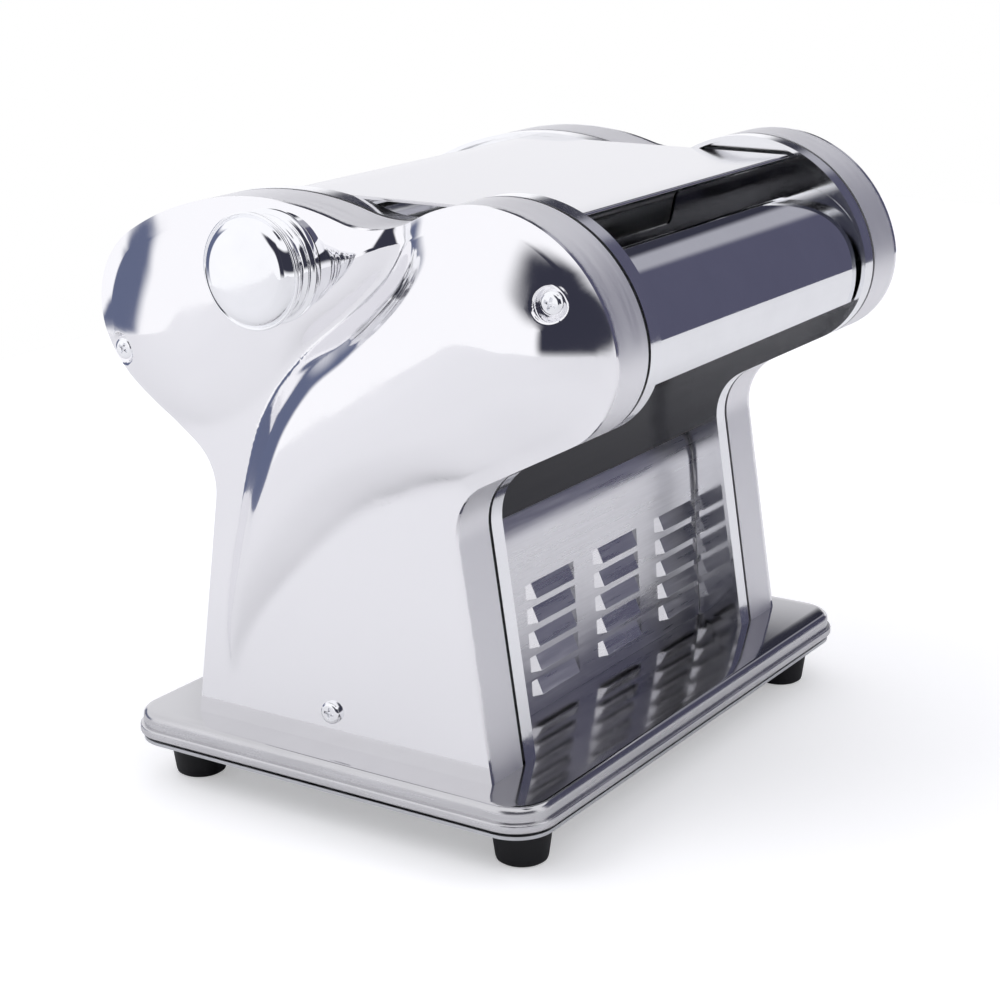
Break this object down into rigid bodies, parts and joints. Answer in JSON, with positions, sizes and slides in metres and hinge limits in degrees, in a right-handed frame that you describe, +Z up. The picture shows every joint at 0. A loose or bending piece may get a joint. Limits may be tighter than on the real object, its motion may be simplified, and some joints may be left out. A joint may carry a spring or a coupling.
{
  "type": "electric pasta maker",
  "caption": "Motor driven pasta maker with smooth sheeting rollers, noodle cutters, pressed steel end covers, a gap setting knob, a louvred motor housing and a footed base.",
  "frame": {"origin": "on the floor under the middle of the base, between the four feet", "axes": "+Z up; +Y along the rollers, from the knob end to the gear end; +X from the sheeting rollers to the cutters"},
  "size_m": [0.2057, 0.2465, 0.2169],
  "materials": {
    "polished_steel": "polished stainless steel face with a satin skirt",
    "brushed_steel": "brushed stainless steel",
    "satin_steel": "satin stainless steel",
    "dark_steel": "satin steel, dark",
    "bright_steel": "polished steel",
    "chrome": "mirror chrome",
    "zinc_plate": "zinc plated steel",
    "gear_steel": "machined steel",
    "bronze": "sintered bronze",
    "black_rubber": "matt black rubber",
    "black_plastic": "black moulded plastic",
    "white_plastic": "white moulded plastic",
    "red_plastic": "red moulded plastic",
    "motor_paint": "black enamel",
    "cast_aluminium": "die cast"
  },
  "bodies": {
    "housing": {"base_tray": "brushed_steel", "base_plate": "zinc_plate", "foot_near_left": "black_rubber", "foot_near_right": "black_rubber", "foot_far_left": "black_rubber", "foot_far_right": "black_rubber", "foot_screws": "zinc_plate", "near_end_plate": "bright_steel", "far_end_plate": "bright_steel", "cover_seals": "black_rubber", "near_cover": "polished_steel", "far_cover": "polished_steel", "cover_screws": "bright_steel", "cover_standoffs": "zinc_plate", "louvred_panel": "satin_steel", "left_panel": "satin_steel", "noodle_deflector": "dark_steel", "sheet_deflector": "dark_steel", "top_plate": "brushed_steel", "chute_wall": "satin_steel", "cutter_guard": "chrome", "roller_guard": "chrome", "fixed_roller_scraper": "satin_steel", "cutter_combs": "satin_steel", "tie_rods": "zinc_plate", "tie_rod_nuts": "zinc_plate", "bearing_bushes": "bronze", "idler_stud": "zinc_plate", "index_plate": "chrome", "motor_stator": "motor_paint", "motor_bells": "cast_aluminium", "motor_cradle": "zinc_plate", "gearbox": "cast_aluminium", "run_capacitor": "white_plastic", "switch_housing": "black_plastic", "power_inlet": "black_plastic"},
    "fixed_roller": {"fixed_roller": "bright_steel", "fixed_roller_gear": "gear_steel", "fixed_pair_gear": "gear_steel"},
    "carriage": {"near_carriage": "zinc_plate", "far_carriage": "zinc_plate", "carriage_bushes": "bronze", "moving_roller_scraper": "satin_steel"},
    "moving_roller": {"moving_roller": "bright_steel", "moving_pair_gear": "gear_steel"},
    "inner_cutter": {"inner_cutter": "bright_steel", "cutter_gear": "gear_steel", "inner_cutter_pair_gear": "gear_steel"},
    "outer_cutter": {"outer_cutter": "bright_steel", "outer_cutter_pair_gear": "gear_steel"},
    "idler": {"idler_gear": "gear_steel"},
    "pinion": {"pinion_shaft": "gear_steel"},
    "rotor": {"motor_rotor": "gear_steel", "motor_fan": "black_plastic"},
    "adjusting_shaft": {"adjusting_shaft": "zinc_plate", "cams": "bronze", "spring_retainer": "zinc_plate", "knob_spring": "gear_steel"},
    "knob": {"knob": "chrome"},
    "switch_rocker": {"switch_rocker": "red_plastic"}
  },
  "joints": [
    {"name": "fixed_roller_spin", "type": "hinge", "parent": "housing", "child": "fixed_roller", "pos_m": [-0.038, 0, 0.172], "axis": [0, 1, 0], "continuous": true},
    {"name": "roller_gap", "type": "slide", "parent": "housing", "child": "carriage", "axis": [-1, 0, 0], "range_m": [0, 0.0026]},
    {"name": "moving_roller_spin", "type": "hinge", "parent": "carriage", "child": "moving_roller", "pos_m": [-0.0706, 0, 0.172], "axis": [0, 1, 0], "continuous": true},
    {"name": "inner_cutter_spin", "type": "hinge", "parent": "housing", "child": "inner_cutter", "pos_m": [0.057, 0, 0.17], "axis": [0, 1, 0], "continuous": true},
    {"name": "outer_cutter_spin", "type": "hinge", "parent": "housing", "child": "outer_cutter", "pos_m": [0.081, 0, 0.17], "axis": [0, 1, 0], "continuous": true},
    {"name": "idler_spin", "type": "hinge", "parent": "housing", "child": "idler", "pos_m": [0.00908, 0, 0.12682], "axis": [0, 1, 0], "continuous": true},
    {"name": "pinion_spin", "type": "hinge", "parent": "housing", "child": "pinion", "pos_m": [0, 0, 0.07816], "axis": [0, 1, 0], "continuous": true},
    {"name": "rotor_spin", "type": "hinge", "parent": "housing", "child": "rotor", "pos_m": [0, 0, 0.07816], "axis": [0, 1, 0], "continuous": true},
    {"name": "adjusting_turn", "type": "hinge", "parent": "housing", "child": "adjusting_shaft", "pos_m": [-0.01, 0, 0.194], "axis": [0, -1, 0], "range_deg": [0, 180]},
    {"name": "knob_pull", "type": "slide", "parent": "adjusting_shaft", "child": "knob", "axis": [0, -1, 0], "range_m": [0, 0.006], "stiffness_N_per_m": 600, "springref_m": -0.002, "deforming": ["knob_spring"]},
    {"name": "switch_rock", "type": "hinge", "parent": "housing", "child": "switch_rocker", "pos_m": [-0.0397, -0.05873, 0.046], "axis": [0.0671, 0, 0.9977], "range_deg": [-24, 0]}
  ],
  "couplings": [
    {"joint": "moving_roller_spin", "follows": "fixed_roller_spin", "ratio": -1},
    {"joint": "idler_spin", "follows": "fixed_roller_spin", "ratio": -0.74},
    {"joint": "inner_cutter_spin", "follows": "fixed_roller_spin", "ratio": 1.0278},
    {"joint": "outer_cutter_spin", "follows": "fixed_roller_spin", "ratio": -1.0278},
    {"joint": "pinion_spin", "follows": "fixed_roller_spin", "ratio": 2.3125},
    {"joint": "rotor_spin", "follows": "fixed_roller_spin", "ratio": 20.812},
    {"joint": "adjusting_turn", "follows": "roller_gap", "rad_per_m": 1208.3}
  ]
}
